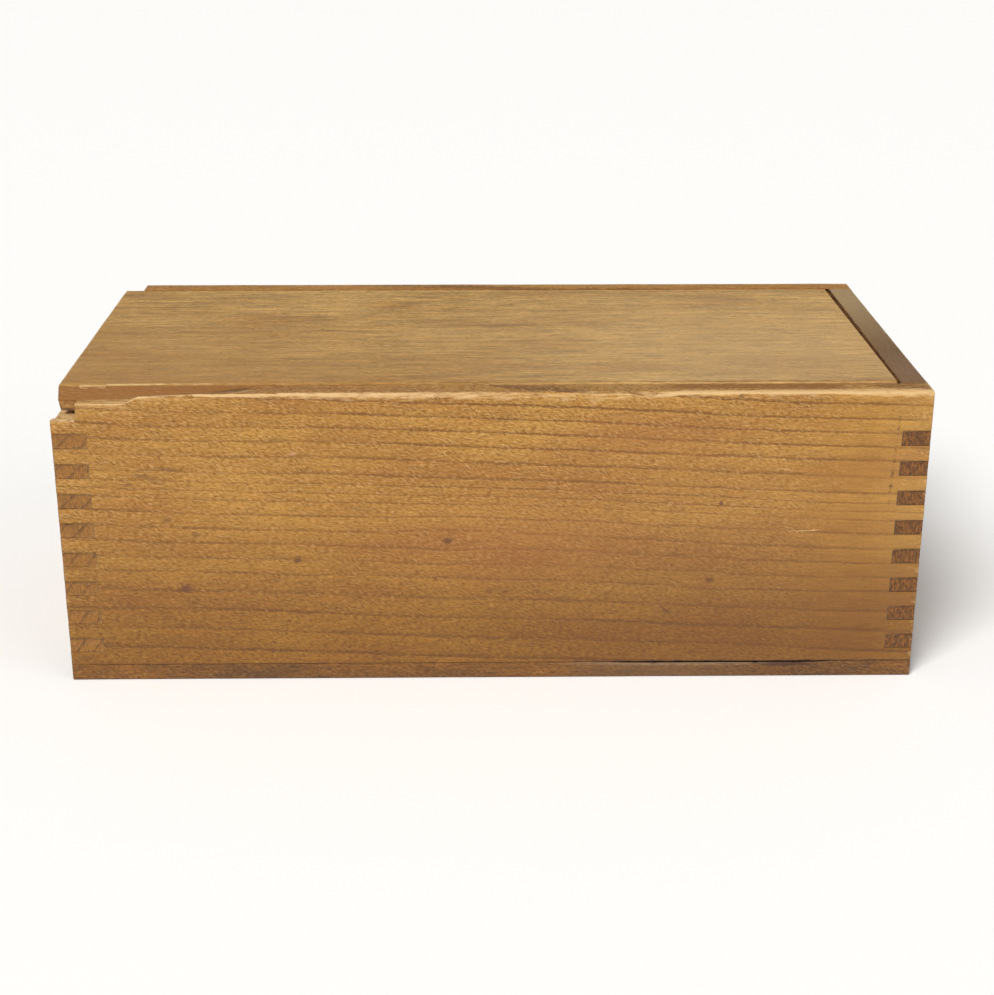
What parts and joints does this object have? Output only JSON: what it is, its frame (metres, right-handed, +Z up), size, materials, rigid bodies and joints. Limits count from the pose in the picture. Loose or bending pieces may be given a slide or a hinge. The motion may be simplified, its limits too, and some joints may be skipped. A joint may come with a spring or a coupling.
{
  "type": "chess box",
  "caption": "Finger-jointed wooden box with a lid that slides in grooves along the long walls, used to store a set of chessmen.",
  "frame": {"origin": "on the ground under the middle of the closed box", "axes": "+X along the long walls towards the end where the lid stops, +Y from the front wall to the back wall, +Z up"},
  "size_m": [0.275, 0.139, 0.098],
  "materials": {
    "wall_pine": "old clear varnish, satin",
    "lid_pine": "old clear varnish, worn",
    "bottom_pine": "darkened, unvarnished below",
    "nail_steel": "dull, lightly rusted"
  },
  "bodies": {
    "box": {"front_wall": "wall_pine", "back_wall": "wall_pine", "left_end_wall": "wall_pine", "right_end_wall": "wall_pine", "bottom_board": "bottom_pine", "bottom_nails": "nail_steel"},
    "lid": {"sliding_lid": "lid_pine"}
  },
  "joints": [
    {"name": "lid_slide", "type": "slide", "parent": "box", "child": "lid", "axis": [-1, 0, 0], "range_m": [0, 0.268]}
  ]
}
